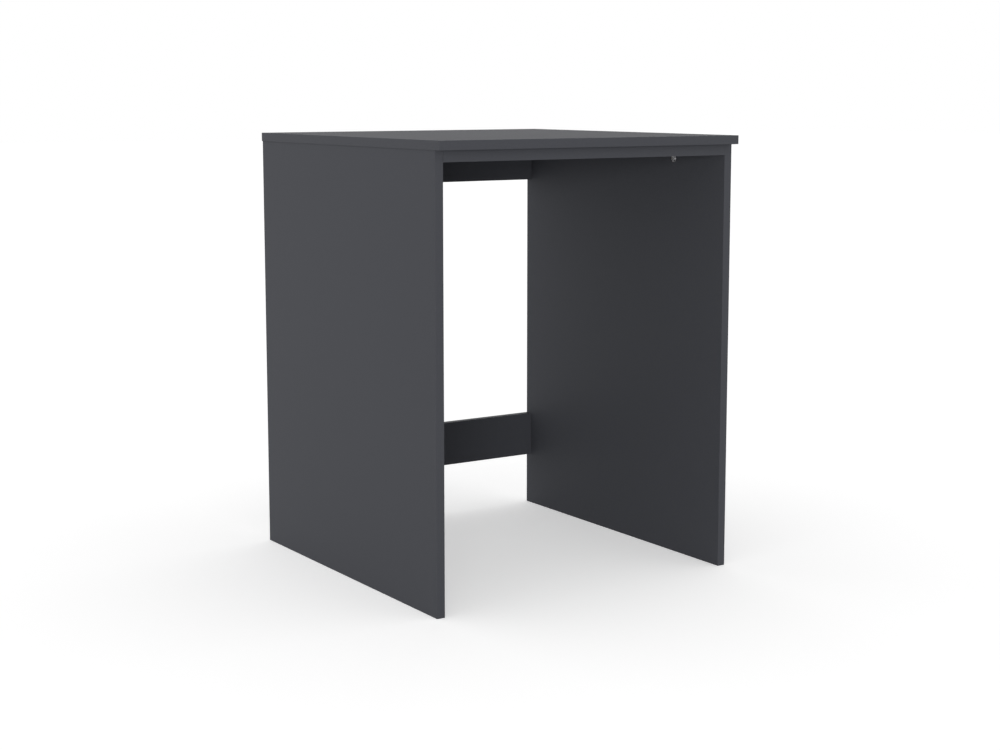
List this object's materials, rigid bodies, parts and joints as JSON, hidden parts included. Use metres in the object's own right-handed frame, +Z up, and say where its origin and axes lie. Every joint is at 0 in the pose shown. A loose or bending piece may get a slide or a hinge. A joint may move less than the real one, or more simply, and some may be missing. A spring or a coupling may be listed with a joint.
{
  "type": "washing machine cabinet",
  "caption": "Open-fronted graphite laminate cabinet with a flat top that stands round a washing machine, its boards joined by turning cams, bolts and dowels.",
  "frame": {"origin": "on the floor, under the middle of the cabinet's bounding box", "axes": "+Z up; the open front faces -Y; +X to the right seen from the front"},
  "size_m": [0.712, 0.734, 0.9],
  "materials": {
    "graphite_laminate": "matte",
    "graphite_edging": "matte",
    "zinc": "satin",
    "plated_steel": "satin",
    "beech": "matte"
  },
  "bodies": {
    "carcass": {"front_stretcher": "graphite_laminate", "left_side": "graphite_laminate", "rear_lower_rail": "graphite_laminate", "rear_upper_rail": "graphite_laminate", "right_side": "graphite_laminate", "top_board": "graphite_laminate", "front_stretcher_front_band": "graphite_edging", "front_stretcher_rear_band": "graphite_edging", "left_side_bottom_band": "graphite_edging", "left_side_front_band": "graphite_edging", "left_side_rear_band": "graphite_edging", "rear_lower_rail_bottom_band": "graphite_edging", "rear_lower_rail_top_band": "graphite_edging", "rear_upper_rail_bottom_band": "graphite_edging", "right_side_bottom_band": "graphite_edging", "right_side_front_band": "graphite_edging", "right_side_rear_band": "graphite_edging", "top_board_front_band": "graphite_edging", "top_board_left_band": "graphite_edging", "top_board_rear_band": "graphite_edging", "top_board_right_band": "graphite_edging", "left_side_front_bolt": "plated_steel", "left_side_rear_bolt": "plated_steel", "lower_rail_left_bolt": "plated_steel", "lower_rail_right_bolt": "plated_steel", "right_side_front_bolt": "plated_steel", "right_side_rear_bolt": "plated_steel", "stretcher_left_bolt": "plated_steel", "stretcher_right_bolt": "plated_steel", "upper_rail_left_bolt": "plated_steel", "upper_rail_right_bolt": "plated_steel", "left_side_front_dowel_1": "beech", "left_side_rear_dowel_1": "beech", "lower_rail_left_dowel_1": "beech", "lower_rail_left_dowel_2": "beech", "lower_rail_right_dowel_1": "beech", "lower_rail_right_dowel_2": "beech", "right_side_front_dowel_1": "beech", "right_side_rear_dowel_1": "beech", "stretcher_left_dowel_1": "beech", "stretcher_left_dowel_2": "beech", "stretcher_right_dowel_1": "beech", "stretcher_right_dowel_2": "beech", "upper_rail_left_dowel_1": "beech", "upper_rail_left_dowel_2": "beech", "upper_rail_right_dowel_1": "beech", "upper_rail_right_dowel_2": "beech"},
    "left_side_front_cam": {"left_side_front_cam": "zinc"},
    "left_side_rear_cam": {"left_side_rear_cam": "zinc"},
    "lower_rail_left_cam": {"lower_rail_left_cam": "zinc"},
    "lower_rail_right_cam": {"lower_rail_right_cam": "zinc"},
    "right_side_front_cam": {"right_side_front_cam": "zinc"},
    "right_side_rear_cam": {"right_side_rear_cam": "zinc"},
    "stretcher_left_cam": {"stretcher_left_cam": "zinc"},
    "stretcher_right_cam": {"stretcher_right_cam": "zinc"},
    "upper_rail_left_cam": {"upper_rail_left_cam": "zinc"},
    "upper_rail_right_cam": {"upper_rail_right_cam": "zinc"}
  },
  "joints": [
    {"name": "stretcher_left_cam_turn", "type": "hinge", "parent": "carcass", "child": "stretcher_left_cam", "pos_m": [-0.3017, -0.298, 0.8597], "axis": [0, 0, -1], "range_deg": [0, 180]},
    {"name": "upper_rail_left_cam_turn", "type": "hinge", "parent": "carcass", "child": "upper_rail_left_cam", "pos_m": [-0.3017, 0.367, 0.8317], "axis": [0, 1, 0], "range_deg": [0, 180]},
    {"name": "lower_rail_left_cam_turn", "type": "hinge", "parent": "carcass", "child": "lower_rail_left_cam", "pos_m": [-0.3017, 0.367, 0.17], "axis": [0, 1, 0], "range_deg": [0, 180]},
    {"name": "left_side_front_cam_turn", "type": "hinge", "parent": "carcass", "child": "left_side_front_cam", "pos_m": [-0.336, -0.183, 0.8477], "axis": [1, 0, 0], "range_deg": [0, 180]},
    {"name": "left_side_rear_cam_turn", "type": "hinge", "parent": "carcass", "child": "left_side_rear_cam", "pos_m": [-0.336, 0.202, 0.8477], "axis": [1, 0, 0], "range_deg": [0, 180]},
    {"name": "stretcher_right_cam_turn", "type": "hinge", "parent": "carcass", "child": "stretcher_right_cam", "pos_m": [0.3017, -0.298, 0.8597], "axis": [0, 0, -1], "range_deg": [0, 180]},
    {"name": "upper_rail_right_cam_turn", "type": "hinge", "parent": "carcass", "child": "upper_rail_right_cam", "pos_m": [0.3017, 0.367, 0.8317], "axis": [0, 1, 0], "range_deg": [0, 180]},
    {"name": "lower_rail_right_cam_turn", "type": "hinge", "parent": "carcass", "child": "lower_rail_right_cam", "pos_m": [0.3017, 0.367, 0.17], "axis": [0, 1, 0], "range_deg": [0, 180]},
    {"name": "right_side_front_cam_turn", "type": "hinge", "parent": "carcass", "child": "right_side_front_cam", "pos_m": [0.336, -0.183, 0.8477], "axis": [-1, 0, 0], "range_deg": [0, 180]},
    {"name": "right_side_rear_cam_turn", "type": "hinge", "parent": "carcass", "child": "right_side_rear_cam", "pos_m": [0.336, 0.202, 0.8477], "axis": [-1, 0, 0], "range_deg": [0, 180]}
  ]
}
